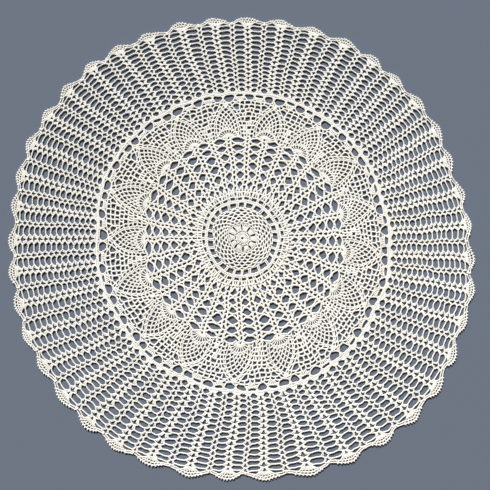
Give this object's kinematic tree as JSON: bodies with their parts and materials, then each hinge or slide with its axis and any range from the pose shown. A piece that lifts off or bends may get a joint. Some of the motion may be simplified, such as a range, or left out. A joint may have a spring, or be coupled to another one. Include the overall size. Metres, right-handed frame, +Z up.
{
  "type": "crochet lace tablecloth",
  "caption": "Round cotton crochet lace tablecloth worked from the centre: rosette, pineapple motifs, ladder mesh and a scalloped fan edge. Lies flat and rests on its underside.",
  "frame": {"origin": "Centre of the rosette, on the underside of the cloth, where it lies on the table", "axes": "+Z up out of the cloth's face, its thinnest way; +Y towards the top of the picture, +X to its right. One scallop's peak lies 1.8 degrees clockwise of +Y."},
  "size_m": [0.9026, 0.8978, 0.002],
  "materials": {
    "cotton_crochet": "cream mercerised cotton yarn, crocheted, soft and matt with a faint sheen"
  },
  "bodies": {
    "root": {"lace_cloth": "cotton_crochet"}
  },
  "joints": []
}
